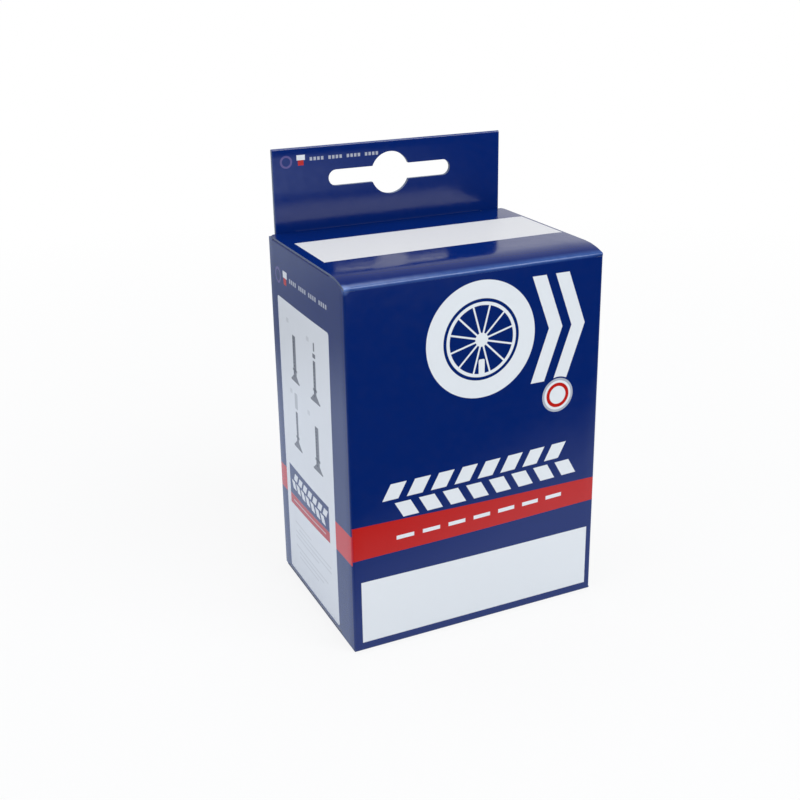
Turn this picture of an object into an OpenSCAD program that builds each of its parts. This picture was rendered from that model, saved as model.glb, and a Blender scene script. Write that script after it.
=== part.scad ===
// Boxed bicycle inner tube: a creased hang-tab carton with tuck closures at
// both ends, holding a folded butyl tube with a car-type (8 mm) valve.
// Origin: centre of the carton's base. +Z up, the front panel faces -Y.

/* [Carton] */
// Width of the carton across the front panel
box_w = 68; // [56:1:90]
// Depth of the carton from front panel to back panel
box_d = 50; // [42:1:70]
// Height of the closed carton without its hang tab
box_h = 93.5; // [80:0.5:130]
// Thickness of the carton board
board_t = 0.5; // [0.35:0.05:0.6]
// Outside radius of the upright folds
fold_r = 0.9; // [0.7:0.1:1.5]
// How far the lid bows down to its front crease
lid_drop = 1.5; // [0.8:0.1:2.5]
// Length of the bowed strip behind the front crease
lid_bow = 8; // [6:0.5:10]
// Distance that the lid stops short of each side panel's outer face
lid_inset = 0.4; // [0.2:0.1:1]

/* [Flaps] */
// Length of the tuck flaps
tuck_l = 13; // [9:0.5:14]
// Distance that a tuck flap's side edges keep from the side panels
tuck_side_gap = 2; // [1:0.25:6]
// Corner radius of the tuck flaps
tuck_corner_r = 6; // [3:0.5:8]
// Length of the locking slit at each end of a tuck crease
slit_l = 5; // [3:0.5:8]
// Inward lean of a closed tuck flap, in degrees
tuck_lean = 12; // [12:1:14]
// Length of the dust flaps
dust_l = 24; // [15:1:28]
// Cut back of a dust flap's front edge at its free end
dust_taper = 7; // [7:0.5:10]
// Width of the glue flap
glue_w = 13; // [8:1:18]

/* [Hang tab] */
// Distance that the hang tab is narrower than the carton on each side
tab_inset = 2; // [1:0.25:8]
// Height of the hang tab above the closed lid
tab_h = 21.2; // [18:0.1:30]
// End-to-end length of the hanging slot
slot_l = 34.5; // [28:0.5:38]
// Height of the hanging slot's arms
slot_h = 4.15; // [4.1:0.05:5]
// Diameter of the round hole at the middle of the slot
slot_hole_d = 11; // [10.9:0.1:13]
// Distance from the slot's centre line to the tab's top edge
slot_drop = 8.4; // [7:0.1:11]

/* [Inner tube] */
// Wall thickness of the rubber tube
tube_wall = 0.95; // [0.7:0.05:1]
// Least air gap between folded layers
fold_gap = 0.25; // [0.15:0.05:0.6]
// Room between the folded bundle and each side panel
side_room = 2.8; // [1.5:0.1:5]
// Room between the folded bundle and the tips of the tuck flaps
tuck_room = 2; // [0.5:0.1:6]
// Room between the folded bundle and the top of the lid
top_room = 8; // [7:0.5:20]
// Clear width of the channel that the valve stands in
channel_w = 18; // [17:0.5:18]
// Width of the elastic band
band_w = 5; // [3:0.5:8]
// Thickness of the elastic band
band_t = 0.8; // [0.5:0.1:0.8]

/* [Valve] */
// Length of the valve stem from its foot to its tip
stem_l = 40; // [35:1:48]
// Outside diameter of the stem's thread
stem_d = 7.75; // [7.7:0.01:7.8]
// Diameter of the air passage through the stem
air_d = 2.6; // [2:0.1:3]
// Diameter of the chamber that the valve core screws into
core_d = 4.9; // [4.8:0.1:5]
// Length of the valve core's chamber
core_l = 20; // [19:0.5:22]
// Width of the rim nut across its flats
nut_af = 12; // [11:0.5:13]
// Height of the rim nut
nut_h = 3.5; // [2.5:0.5:5]
// Height of the valve cap
cap_h = 11.5; // [9:0.5:14]
// Outside diameter of the valve cap
cap_d = 10; // [9.6:0.1:12]
// Number of grip ribs around the cap
cap_ribs = 18; // [12:1:24]

/* [Hidden] */
$fn = 64;

crease_gap = 0.04;  // play left in a crease between two boards that fold on each other
lay_gap = 0.05;     // play between a closed panel and the dust flaps that it lies on
rest_gap = 0.35;    // play of the soft contents in the carton
tuck_gap = 0.1;     // play between a tuck crease and the board behind it
thread_play = 0.08; // play round the stem of what screws on to it
over = 1;           // overrun of a cutting shape past the face that it cuts

half_w = box_w / 2;
half_d = box_d / 2;
in_w = half_w - board_t;                   // inner face of a side panel
in_d = half_d - board_t;                   // inner face of the front and back panels
tuck_y = in_d - board_t - tuck_gap;        // a tuck crease, just clear of the glue flap
side_top = box_h - board_t - lay_gap;      // crease of the upper dust flaps
side_bottom = board_t + lay_gap;           // crease of the lower dust flaps
front_top = box_h - lid_drop;              // crease of the lid
tab_crease = box_h + 2 * board_t + lay_gap;  // crease of the hang tab, two plies above the lid
bow_r = (lid_bow * lid_bow + lid_drop * lid_drop) / (2 * lid_drop);
bow_y = lid_bow - half_d;                  // where the bow runs into the flat of the lid
bow_angle = asin(lid_bow / bow_r);         // slope of the lid at its front crease
lid_half_w = half_w - lid_inset;
tuck_w = 2 * (in_w - tuck_side_gap);
tab_w = box_w - 2 * tab_inset;
tuck_bevel = board_t * tan(45 + tuck_lean / 2);   // run of the mitre at a tuck crease

navy = [0.0, 0.13, 0.39];
board_white = [0.86, 0.87, 0.86];

// ---------------------------------------------------------------- helpers

// Extrudes an outline drawn in Y and Z from x0 to x1.
module along_x(x0, x1) {
    translate([x0, 0, 0]) rotate([90, 0, 90]) linear_extrude(x1 - x0) children();
}

// Extrudes an outline drawn in X and Z from y0 to y1.
module along_y(y0, y1) {
    translate([0, y1, 0]) rotate([90, 0, 0]) linear_extrude(y1 - y0) children();
}

// Upright block with rounded vertical edges, centred on X and Y.
module round_block(w, d, r, z0, z1) {
    translate([0, 0, z0]) {
        translate([-w / 2 + r, -d / 2, 0]) cube([w - 2 * r, d, z1 - z0]);
        translate([-w / 2, -d / 2 + r, 0]) cube([w, d - 2 * r, z1 - z0]);
        for (x = [-1, 1], y = [-1, 1])
            translate([x * (w / 2 - r), y * (d / 2 - r), 0]) cylinder(r = r, h = z1 - z0);
    }
}

// The four walls as one tube of board with round folds.
module sleeve(z1) {
    difference() {
        round_block(box_w, box_d, fold_r, 0, z1);
        round_block(box_w - 2 * board_t, box_d - 2 * board_t, fold_r - board_t, -over, z1 + over);
    }
}

// Plan area of one wall, mitred at 45 degrees through both upright folds.
module wall_plan(w, d, z1) {
    reach = 3;
    linear_extrude(z1)
        polygon([[-w / 2, -d / 2], [w / 2, -d / 2], [w / 2 - reach, reach - d / 2], [reach - w / 2, reach - d / 2]]);
}

// Direction that halves the angle between two board directions a and b.
function halfway(a, b) = let (s = a + b) s / norm(s);

// ------------------------------------------------------------ carton walls

// The front panel folds into the lid at the top and into the bottom panel.
module front_panel() {
    split = halfway([0, -1], [cos(bow_angle), sin(bow_angle)]);
    reach = 3;
    color(navy) intersection() {
        sleeve(box_h);
        wall_plan(box_w, box_d, box_h);
        along_x(-half_w, half_w)
            polygon([[-half_d, 0], [-half_d, front_top],
                     [-half_d + reach * split[0], front_top + reach * split[1]], [reach - half_d, reach]]);
    }
}

// Side view of a side panel: its front corner is cut to the lid's bow.
module side_outline() {
    difference() {
        translate([-half_d, side_bottom]) square([box_d, side_top - side_bottom]);
        difference() {
            translate([-half_d - over, side_top - bow_r]) square([lid_bow + over, bow_r + over]);
            translate([bow_y, box_h - bow_r]) circle(r = bow_r - board_t - lay_gap, $fn = 128);
        }
    }
}

// Left panel; its top and bottom edges are bevelled where the dust flaps fold.
module left_panel() {
    reach = 3;
    color(navy) intersection() {
        sleeve(box_h);
        rotate([0, 0, -90]) wall_plan(box_d, box_w, box_h);
        along_x(-half_w, half_w) side_outline();
        along_y(-half_d, half_d)
            polygon([[-half_w, side_bottom], [-half_w, side_top],
                     [reach - half_w, side_top - reach], [reach - half_w, side_bottom + reach]]);
    }
}

module right_panel() mirror([1, 0, 0]) left_panel();

// The back panel rises to the hang tab's crease between two lower shoulders.
// Its top edge is bevelled, so that the tab can fold down on to the lid.
module back_panel() {
    reach = 3;
    color(navy) intersection() {
        sleeve(tab_crease);
        rotate([0, 0, 180]) wall_plan(box_w, box_d, tab_crease);
        along_y(-half_d, half_d) union() {
            translate([-half_w, 0]) square([box_w, side_top]);
            translate([-tab_w / 2, 0]) square([tab_w, tab_crease]);
        }
        along_x(-half_w, half_w)
            polygon([[half_d, 0], [half_d, tab_crease], [half_d - reach, tab_crease - reach], [half_d - reach, 0]]);
    }
}

// The right panel's glue flap, with tapered ends, lies inside the back panel.
module glue_flap() {
    taper = 3;
    inset = 1.5;
    low = side_bottom + board_t + inset;
    high = side_top - board_t - inset;
    edge = half_w - fold_r;
    color(board_white) along_y(in_d - board_t, in_d)
        polygon([[edge, low], [edge, high], [edge - glue_w, high - taper], [edge - glue_w, low + taper]]);
}

// ------------------------------------------------------------- carton flaps

// Outline under the lid's bow and flat, this far in from its outer face.
module lid_core(inset) {
    translate([bow_y, box_h - bow_r]) circle(r = bow_r - inset, $fn = 128);
    translate([bow_y, box_h - bow_r]) square([box_d, bow_r - inset]);
}

// Side view of the lid: a bow at the front crease, then flat to the tuck crease.
module lid_outline() {
    split = halfway([0, -1], [cos(bow_angle), sin(bow_angle)]);
    reach = 3;
    front = [-half_d, front_top + crease_gap];
    back = tuck_y - crease_gap;
    intersection() {
        difference() {
            lid_core(0);
            lid_core(board_t);
        }
        polygon([front, front + reach * split, [back - tuck_bevel * reach / board_t, box_h - reach],
                 [back, box_h], [back, box_h + over], [-half_d, box_h + over]]);
    }
}

module lid_panel() {
    color(navy) along_x(-lid_half_w, lid_half_w) lid_outline();
}

// Tuck flap drawn hanging from its crease, outer face on Y = 0, before it leans.
// Slits free its shoulders from the panel, and its free corners are round.
module tuck_blank() {
    slit = 0.4;
    half = tuck_w / 2;
    attached = half - slit_l;
    r = tuck_corner_r;
    intersection() {
        along_y(-board_t, 0) {
            translate([-attached, -tuck_l]) square([2 * attached, tuck_l]);
            translate([-half, r - tuck_l]) square([tuck_w, tuck_l - r - slit]);
            translate([r - half, -tuck_l]) square([tuck_w - 2 * r, r]);
            for (x = [-1, 1]) translate([x * (half - r), r - tuck_l]) circle(r = r);
        }
        along_x(-half, half) polygon([[0, 0], [0, -tuck_l], [-board_t, -tuck_l], [-board_t, -tuck_bevel]]);
    }
}

module lid_tuck_flap() {
    color(navy) translate([0, tuck_y, box_h]) rotate([-tuck_lean, 0, 0]) tuck_blank();
}

// Dust flap in plan, hinged on X = 0 and running to +X; its front edge tapers.
module dust_plan(front, back) {
    shoulder = 4;
    step = 0.5;
    notch = 3;
    polygon([[0, front], [shoulder, front + step], [dust_l, front + dust_taper], [dust_l, back - notch],
             [dust_l - notch, back], [0, back]]);
}

// Upper left dust flap, folded flat below the lid. It starts behind the lid's
// bow and ends far enough before the tuck flap to let that swing past.
module left_dust_flap() {
    bow_room = 0.5;
    swing_room = 1.4;
    front = bow_y + bow_room;
    back = tuck_y - board_t - swing_room;
    color(board_white) translate([-half_w, 0, side_top]) intersection() {
        translate([0, 0, -board_t]) linear_extrude(board_t) dust_plan(front, back);
        along_y(front, back)
            polygon([[crease_gap, 0], [dust_l, 0], [dust_l, -board_t], [board_t + crease_gap, -board_t]]);
    }
}

module right_dust_flap() mirror([1, 0, 0]) left_dust_flap();

// Bottom panel, folded from the front panel, with the base on Z = 0.
module bottom_panel() {
    color(navy) along_x(-lid_half_w, lid_half_w)
        polygon([[crease_gap - half_d, 0], [tuck_y - crease_gap, 0],
                 [tuck_y - crease_gap - tuck_bevel, board_t], [crease_gap - half_d + board_t, board_t]]);
}

module bottom_tuck_flap() {
    color(navy) translate([0, tuck_y, 0]) mirror([0, 0, 1]) rotate([-tuck_lean, 0, 0]) tuck_blank();
}

module bottom_left_dust_flap() {
    translate([0, 0, side_top + side_bottom]) mirror([0, 0, 1]) left_dust_flap();
}

module bottom_right_dust_flap() mirror([1, 0, 0]) bottom_left_dust_flap();

// ----------------------------------------------------------------- hang tab

tab_top = box_h + tab_h;
slot_z = tab_top - slot_drop;

// Hanging slot: a round hole between two round-ended arms.
module euro_slot() {
    arm_r = slot_h / 2;
    reach = slot_l / 2 - arm_r;
    translate([0, 0, slot_z]) rotate([-90, 0, 0]) {
        cylinder(d = slot_hole_d, h = half_d + over);
        translate([-reach, -arm_r, 0]) cube([2 * reach, slot_h, half_d + over]);
        for (x = [-1, 1]) translate([x * reach, 0, 0]) cylinder(r = arm_r, h = half_d + over);
    }
}

// Side view of the rear ply: a bevelled foot, and a round fold at the top.
module rear_ply_outline() {
    foot = tab_crease + crease_gap;
    fold = tab_top - board_t;
    polygon([[half_d, foot], [half_d, fold], [in_d, fold], [in_d, foot + board_t]]);
    intersection() {
        translate([in_d, fold]) circle(r = board_t);
        translate([in_d - board_t, fold]) square([2 * board_t, board_t]);
    }
}

// Rear ply, an extension of the back panel that folds over at the tab's top.
module tab_rear_ply() {
    color(navy) difference() {
        along_x(-tab_w / 2, tab_w / 2) rear_ply_outline();
        euro_slot();
    }
}

// Front ply, glued to the rear ply, so the print shows on both sides of the tab.
module tab_front_ply() {
    foot = tab_crease + crease_gap + board_t;
    color(navy) difference() {
        translate([-tab_w / 2, in_d - board_t, foot]) cube([tab_w, board_t, tab_top - board_t - foot]);
        euro_slot();
    }
}

// --------------------------------------------------------------- inner tube

strip_t = 2 * tube_wall;                       // the tube pressed flat: two walls
band_gap = 0.1;                                // play between the elastic band and the bundle
outer_x = in_w - side_room;                    // outer face of the last upright layer
stack_w = outer_x - channel_w / 2;             // all the layers on one side of the valve
fold_count = 2 * floor((stack_w + fold_gap) / (2 * (strip_t + fold_gap)));
pitch = (stack_w - strip_t) / (fold_count - 1);   // from one upright layer to the next
turn_r = pitch / 2;                            // centre line of a fold
turn_out = turn_r + strip_t / 2;
corner_r = 1;                                  // inside radius of the four square turns
strand_z = side_bottom + board_t + rest_gap;   // underside of the strand below the bundle
shelf_z = strand_z + pitch;                    // underside of the strip that carries the valve
shelf_top = shelf_z + strip_t;
fold_top = box_h - top_room;                   // height of the top folds
turn_low = shelf_z + turn_out;                 // centre of the lower folds
turn_high = fold_top - turn_out;               // centre of the upper folds
tuck_tip_y = tuck_y - tuck_l * sin(tuck_lean) - board_t;
tube_y0 = -in_d + rest_gap + band_t + band_gap;
tube_y1 = tuck_tip_y - tuck_room;
tube_w = tube_y1 - tube_y0;                    // width of the tube pressed flat
valve_y = (tube_y0 + tube_y1) / 2;
rubber = [0.09, 0.09, 0.1];

function layer_x(i) = channel_w / 2 + strip_t / 2 + i * pitch;   // centre of upright layer i

// Straight strip of tube between two corners, across the flat width.
module strip(x0, z0, x1, z1) {
    translate([x0, tube_y0, z0]) cube([x1 - x0, tube_w, z1 - z0]);
}

// Bent strip: an arc about (x, z) with this inside radius, from angle a over a sweep.
module bend(x, z, r, a, sweep) {
    translate([x, tube_y1, z]) rotate([90, 0, 0]) rotate([0, 0, a])
        rotate_extrude(angle = sweep) translate([r, 0]) square([strip_t, tube_w]);
}

// One side's folds, from the strip under the valve out to the strand below.
module fold_stack() {
    inner_r = turn_r - strip_t / 2;
    last = fold_count - 1;
    for (i = [0:last]) {
        low = i == 0 ? shelf_top + corner_r : i == last ? strand_z + strip_t + corner_r : turn_low;
        strip(layer_x(i) - strip_t / 2, low, layer_x(i) + strip_t / 2, turn_high);
    }
    for (i = [0:2:last - 1]) bend(layer_x(i) + turn_r, turn_high, inner_r, 0, 180);
    for (i = [1:2:last - 2]) bend(layer_x(i) + turn_r, turn_low, inner_r, 180, 180);
    bend(layer_x(0) - strip_t / 2 - corner_r, shelf_top + corner_r, corner_r, 270, 90);
    bend(layer_x(last) - strip_t / 2 - corner_r, strand_z + strip_t + corner_r, corner_r, 270, 90);
}

// The whole ring of tube, folded from both sides towards the valve.
module inner_tube() {
    shelf_x = channel_w / 2 - corner_r;
    strand_x = outer_x - strip_t - corner_r;
    color(rubber) difference() {
        union() {
            fold_stack();
            mirror([1, 0, 0]) fold_stack();
            strip(-shelf_x, shelf_z, shelf_x, shelf_top);
            strip(-strand_x, strand_z, strand_x, strand_z + strip_t);
        }
        translate([0, valve_y, shelf_top - tube_wall]) cylinder(d = air_d, h = tube_wall + over);
    }
}

// Elastic band around the bundle's waist.
module elastic_band() {
    w = 2 * (outer_x + band_gap);
    d = tube_w + 2 * band_gap;
    r = 3 * band_gap;
    z0 = (fold_top - band_w) / 2;
    color([0.72, 0.52, 0.30]) translate([0, valve_y, 0]) difference() {
        round_block(w + 2 * band_t, d + 2 * band_t, r + band_t, z0, z0 + band_w);
        round_block(w, d, r, z0 - over, z0 + band_w + over);
    }
}

// -------------------------------------------------------------------- valve

foot_r = 5.5;                          // flange at the foot of the stem
foot_h = 1;
base_r = 8;                            // rubber patch round the foot
base_h = 1.8;
cone_h = 8;
cone_wall = 0.8;                       // rubber left round the stem at the cone's top
stem_tip = shelf_top + stem_l;
chamber_z = stem_tip - core_l;
core_clear = 0.04;                     // play of the core in its chamber
core_r = core_d / 2 - core_clear;
plug_h = 5.5;                          // threaded head of the core
plug_top = stem_tip - 1;
barrel_r = 1.95;
barrel_bore_r = 1.45;
barrel_h = 9;
barrel_z = plug_top - plug_h - barrel_h;
barrel_floor = 1;
neck_r = 1.4;                          // neck on which the plug turns
neck_h = 1.5;
seal_rise = 3;                         // height of the sealing sleeve on the barrel
swivel_play = 0.04;
pin_r = 0.45;
pin_play = 0.1;                        // play round the core pin
pin_proud = 0.5;                       // height of the pin above the plug
collar_r = 1.3;
collar_h = 0.8;
collar_z = barrel_z + barrel_h - barrel_floor - collar_h - swivel_play;
cup_r = 1.75;
cup_floor = 0.8;
pin_seal_h = 0.7;
cup_z = barrel_z - swivel_play - pin_seal_h - cup_floor;
nut_rise = 4;                          // height of the nut above the cone
nut_z = shelf_top + base_h + cone_h + nut_rise;
gasket_h = 0.8;
gasket_gap = 0.05;                     // room above and below the cap's gasket
nickel = [0.78, 0.77, 0.74];
brass = [0.80, 0.66, 0.36];

module at_valve(z) translate([0, valve_y, z]) children();

// Rubber patch and cone that bond the stem to the tube.
module valve_base() {
    step = 1;
    color(rubber) at_valve(shelf_top) difference() {
        union() {
            cylinder(r = base_r, h = base_h);
            translate([0, 0, base_h])
                cylinder(r1 = base_r - step, r2 = stem_d / 2 + cone_wall, h = cone_h);
        }
        translate([0, 0, -over]) cylinder(d = stem_d, h = base_h + cone_h + 2 * over);
        translate([0, 0, -over]) cylinder(r = foot_r, h = foot_h + over);
    }
}

// Stem: a flanged foot, an air passage and a chamber for the core.
module valve_stem() {
    chamfer = 0.5;
    color(nickel) at_valve(shelf_top) difference() {
        union() {
            cylinder(r = foot_r, h = foot_h);
            cylinder(d = stem_d, h = stem_l - chamfer);
            translate([0, 0, stem_l - chamfer])
                cylinder(d1 = stem_d, d2 = stem_d - 2 * chamfer, h = chamfer);
        }
        translate([0, 0, -over]) cylinder(d = air_d, h = stem_l + 2 * over);
        translate([0, 0, stem_l - core_l]) cylinder(d = core_d, h = core_l + over);
    }
}

// Hexagonal rim nut with chamfered corners.
module rim_nut() {
    corner_d = nut_af / cos(30);
    chamfer = 0.6;
    wide_d = nut_af + 4 * chamfer;
    color(nickel) at_valve(nut_z) difference() {
        intersection() {
            cylinder(d = corner_d, h = nut_h, $fn = 6);
            union() {
                cylinder(d1 = nut_af, d2 = wide_d, h = chamfer);
                translate([0, 0, chamfer]) cylinder(d = wide_d, h = nut_h - 2 * chamfer);
                translate([0, 0, nut_h - chamfer]) cylinder(d1 = wide_d, d2 = nut_af, h = chamfer);
            }
        }
        translate([0, 0, -over]) cylinder(d = stem_d + 2 * thread_play, h = nut_h + 2 * over);
    }
}

// Core plug: the core's threaded head, slotted for a valve key.
module core_plug() {
    slot = 1.5;
    color(brass) at_valve(plug_top - plug_h) difference() {
        cylinder(r = core_r, h = plug_h);
        translate([0, 0, -over]) cylinder(r = neck_r + swivel_play, h = neck_h + swivel_play + over);
        translate([0, 0, -over]) cylinder(r = pin_r + pin_play, h = plug_h + 2 * over);
        for (x = [-1, 1]) translate([x * (core_r + slot / 2), 0, plug_h - over])
            cube([2 * core_r, 4 * core_r, 4 * over], center = true);
    }
}

// Core barrel: it holds the spring, and its neck turns in the plug.
module core_barrel() {
    color(brass) at_valve(barrel_z) difference() {
        union() {
            cylinder(r = barrel_r, h = barrel_h - swivel_play);
            cylinder(r = neck_r, h = barrel_h + neck_h);
        }
        translate([0, 0, -over]) cylinder(r = pin_r + pin_play, h = barrel_h + neck_h + 2 * over);
        translate([0, 0, barrel_floor]) cylinder(r = barrel_bore_r, h = barrel_h - 2 * barrel_floor);
    }
}

// Sealing sleeve round the core's barrel.
module core_seal() {
    seal_h = 3;
    color([0.85, 0.2, 0.15]) at_valve(barrel_z + seal_rise) difference() {
        cylinder(r = core_r, h = seal_h);
        translate([0, 0, -over]) cylinder(r = barrel_r, h = seal_h + 2 * over);
    }
}

// Core pin with its collar above the spring and the cup at its foot.
module core_pin() {
    color(brass) at_valve(0) {
        translate([0, 0, cup_z]) cylinder(r = cup_r, h = cup_floor);
        translate([0, 0, cup_z]) cylinder(r = pin_r, h = plug_top + pin_proud - cup_z);
        translate([0, 0, collar_z]) cylinder(r = collar_r, h = collar_h);
    }
}

// Rubber ring in the pin's cup, which shuts the barrel's lower end.
module core_pin_seal() {
    color([0.12, 0.12, 0.12]) at_valve(cup_z + cup_floor) difference() {
        cylinder(r = cup_r, h = pin_seal_h);
        translate([0, 0, -over]) cylinder(r = pin_r, h = pin_seal_h + 2 * over);
    }
}

spring_wire_r = 0.18;
spring_turns = 6;
spring_r = 0.95;
spring_play = 0.02;                    // play at each end of the spring
spring_z0 = barrel_z + barrel_floor + spring_wire_r + spring_play;
spring_z1 = collar_z - spring_wire_r - spring_play;
spring_steps = 12;                     // rings of points in each turn
spring_sides = 6;

// Point k round the wire at ring i of the spring.
function spring_point(i, k) =
    let (a = 360 * i / spring_steps,
         b = 360 * k / spring_sides,
         r = spring_r + spring_wire_r * cos(b))
    [r * cos(a), r * sin(a), spring_wire_r * sin(b)
        + spring_z0 + (spring_z1 - spring_z0) * i / (spring_steps * spring_turns)];

// Coil spring swept along a helix.
module core_spring() {
    last = spring_steps * spring_turns;
    points = [for (i = [0:last], k = [0:spring_sides - 1]) spring_point(i, k)];
    walls = [for (i = [0:last - 1], k = [0:spring_sides - 1])
        let (a = i * spring_sides + k, b = i * spring_sides + (k + 1) % spring_sides)
        [a, a + spring_sides, b + spring_sides, b]];
    ends = [[for (k = [0:spring_sides - 1]) k],
            [for (k = [spring_sides - 1:-1:0]) last * spring_sides + k]];
    color(nickel) at_valve(0) polyhedron(points, concat(walls, ends));
}

// Screw cap with grip ribs, closed at the top.
module valve_cap() {
    roof = 1.5;
    bevel_h = 1;
    top_d = cap_d - 3;
    rib = 0.7;
    rib_end = 0.6;
    bore_h = cap_h - roof;
    skirt = bore_h - gasket_h - 2 * gasket_gap;
    body_d = cap_d - rib;
    body_h = cap_h - bevel_h;
    color([0.05, 0.05, 0.055]) at_valve(stem_tip - skirt) difference() {
        union() {
            cylinder(d = body_d, h = body_h);
            translate([0, 0, body_h]) cylinder(d1 = body_d, d2 = top_d, h = bevel_h);
            for (i = [0:cap_ribs - 1]) rotate([0, 0, 360 * i / cap_ribs])
                translate([cap_d / 2 - rib, -rib / 2, 0]) cube([rib, rib, body_h - rib_end]);
        }
        translate([0, 0, -over]) cylinder(d = stem_d + 2 * thread_play, h = bore_h + over);
    }
}

// Rubber disc inside the cap, which seals on the stem's tip.
module cap_gasket() {
    color([0.3, 0.3, 0.32]) at_valve(stem_tip + gasket_gap)
        cylinder(d = stem_d - 2 * gasket_gap, h = gasket_h);
}

front_panel();
left_panel();
right_panel();
back_panel();
glue_flap();
lid_panel();
lid_tuck_flap();
left_dust_flap();
right_dust_flap();
tab_rear_ply();
tab_front_ply();
bottom_panel();
bottom_tuck_flap();
bottom_left_dust_flap();
bottom_right_dust_flap();
inner_tube();
elastic_band();
valve_base();
valve_stem();
rim_nut();
core_plug();
core_barrel();
core_seal();
core_pin();
core_pin_seal();
core_spring();
valve_cap();
cap_gasket();
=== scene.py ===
"""Boxed bicycle inner tube: the looks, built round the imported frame.

Every mesh is drawn in millimetres in the frame's own axes (+Z up, the front panel faces -Y) and
becomes metres in mesh_object(). The print is worked out by shaders from rest_mm, an attribute that
holds each point's place in the closed carton, so it stays put when a flap moves.
"""

from math import acos, asin, ceil, cos, degrees, exp, pi, radians, sin, tan

import bmesh
import bpy
import numpy as np
from mathutils import Matrix, Vector, geometry


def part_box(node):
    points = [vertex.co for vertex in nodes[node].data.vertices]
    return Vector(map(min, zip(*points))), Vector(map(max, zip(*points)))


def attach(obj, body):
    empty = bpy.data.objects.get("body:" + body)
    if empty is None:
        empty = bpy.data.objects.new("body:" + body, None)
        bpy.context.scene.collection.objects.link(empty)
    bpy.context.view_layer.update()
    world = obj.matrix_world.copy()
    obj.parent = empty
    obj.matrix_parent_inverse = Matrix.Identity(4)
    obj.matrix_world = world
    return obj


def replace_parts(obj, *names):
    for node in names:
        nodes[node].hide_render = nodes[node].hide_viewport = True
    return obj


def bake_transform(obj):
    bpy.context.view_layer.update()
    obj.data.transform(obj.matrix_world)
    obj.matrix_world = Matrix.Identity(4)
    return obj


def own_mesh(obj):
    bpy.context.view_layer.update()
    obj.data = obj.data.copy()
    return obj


MM = 0.001
scene = bpy.context.scene
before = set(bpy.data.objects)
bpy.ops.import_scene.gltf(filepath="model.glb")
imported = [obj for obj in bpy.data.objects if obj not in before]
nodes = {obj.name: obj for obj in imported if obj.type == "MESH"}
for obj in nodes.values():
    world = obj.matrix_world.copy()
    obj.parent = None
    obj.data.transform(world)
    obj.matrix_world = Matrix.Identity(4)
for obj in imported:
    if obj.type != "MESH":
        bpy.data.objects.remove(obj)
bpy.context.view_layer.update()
rng = np.random.default_rng(11)


def size(node):
    """Lowest and highest corner of a CAD node, in millimetres."""
    low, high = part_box(node)
    return np.array(low) / MM, np.array(high) / MM


def levels(node):
    """Lowest and highest z of a CAD node, in millimetres."""
    return [corner[2] for corner in size(node)]


# ---------------- sizes from the frame
front_hi, back_hi, lid_hi = [size(node)[1] for node in ("front_panel", "back_panel", "lid_panel")]
side_bottom, side_top = levels("left_panel")
tab_lo, tab_hi = size("tab_rear_ply")
glue_lo, glue_hi = size("glue_flap")
flap_lo, flap_hi = size("lid_tuck_flap")
dust_lo, dust_hi = size("left_dust_flap")
tube_lo, tube_hi = size("inner_tube")
band_lo, band_hi = size("elastic_band")

half_w = front_hi[0]
half_d = back_hi[1]
board_t = glue_hi[1] - glue_lo[1]
box_h = lid_hi[2]
fold_r = half_w - glue_hi[0]
front_top = front_hi[2]
lid_half = lid_hi[0]
tuck_y = lid_hi[1]
tab_half = tab_hi[0]
tab_top = tab_hi[2]
tab_crease = tab_lo[2]

lid_bow = 8.0                         # length of the bowed strip behind the lid's front crease
bow_drop = box_h - front_top
bow_r = (lid_bow ** 2 + bow_drop ** 2) / (2 * bow_drop)
bow_slope = degrees(asin(lid_bow / bow_r))
bow_y = lid_bow - half_d

valve_y = (tube_lo[1] + tube_hi[1]) / 2
axis = (0.0, valve_y)


# ---------------- meshes
def add_object(name, data):
    o = bpy.data.objects.new(name, data)
    scene.collection.objects.link(o)
    return o


def stack(*values):
    """Points, from the lists of their values."""
    return np.stack(values, 1)


def mesh_object(name, points, faces, materials, slots=None, rest=None, sharp=35):
    """A mesh from points in millimetres, with normals facing out and rest_mm on its points."""
    mesh = bpy.data.meshes.new(name)
    points = np.asarray(points, float)
    mesh.from_pydata((points * MM).tolist(), [], [list(map(int, f)) for f in faces])
    for m in materials:
        mesh.materials.append(m)
    if slots is not None:
        mesh.polygons.foreach_set("material_index", np.asarray(slots, np.int32))
    attribute = mesh.attributes.new("rest_mm", "FLOAT_VECTOR", "POINT")
    rest = points if rest is None else rest
    attribute.data.foreach_set("vector", np.asarray(rest, np.float32).ravel())
    bm = bmesh.new()
    bm.from_mesh(mesh)
    bmesh.ops.recalc_face_normals(bm, faces=bm.faces)
    bm.to_mesh(mesh)
    bm.free()
    mesh.polygons.foreach_set("use_smooth", np.ones(len(mesh.polygons), bool))
    mesh.set_sharp_from_angle(angle=radians(sharp))
    mesh.update()
    return add_object(name, mesh)


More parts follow.
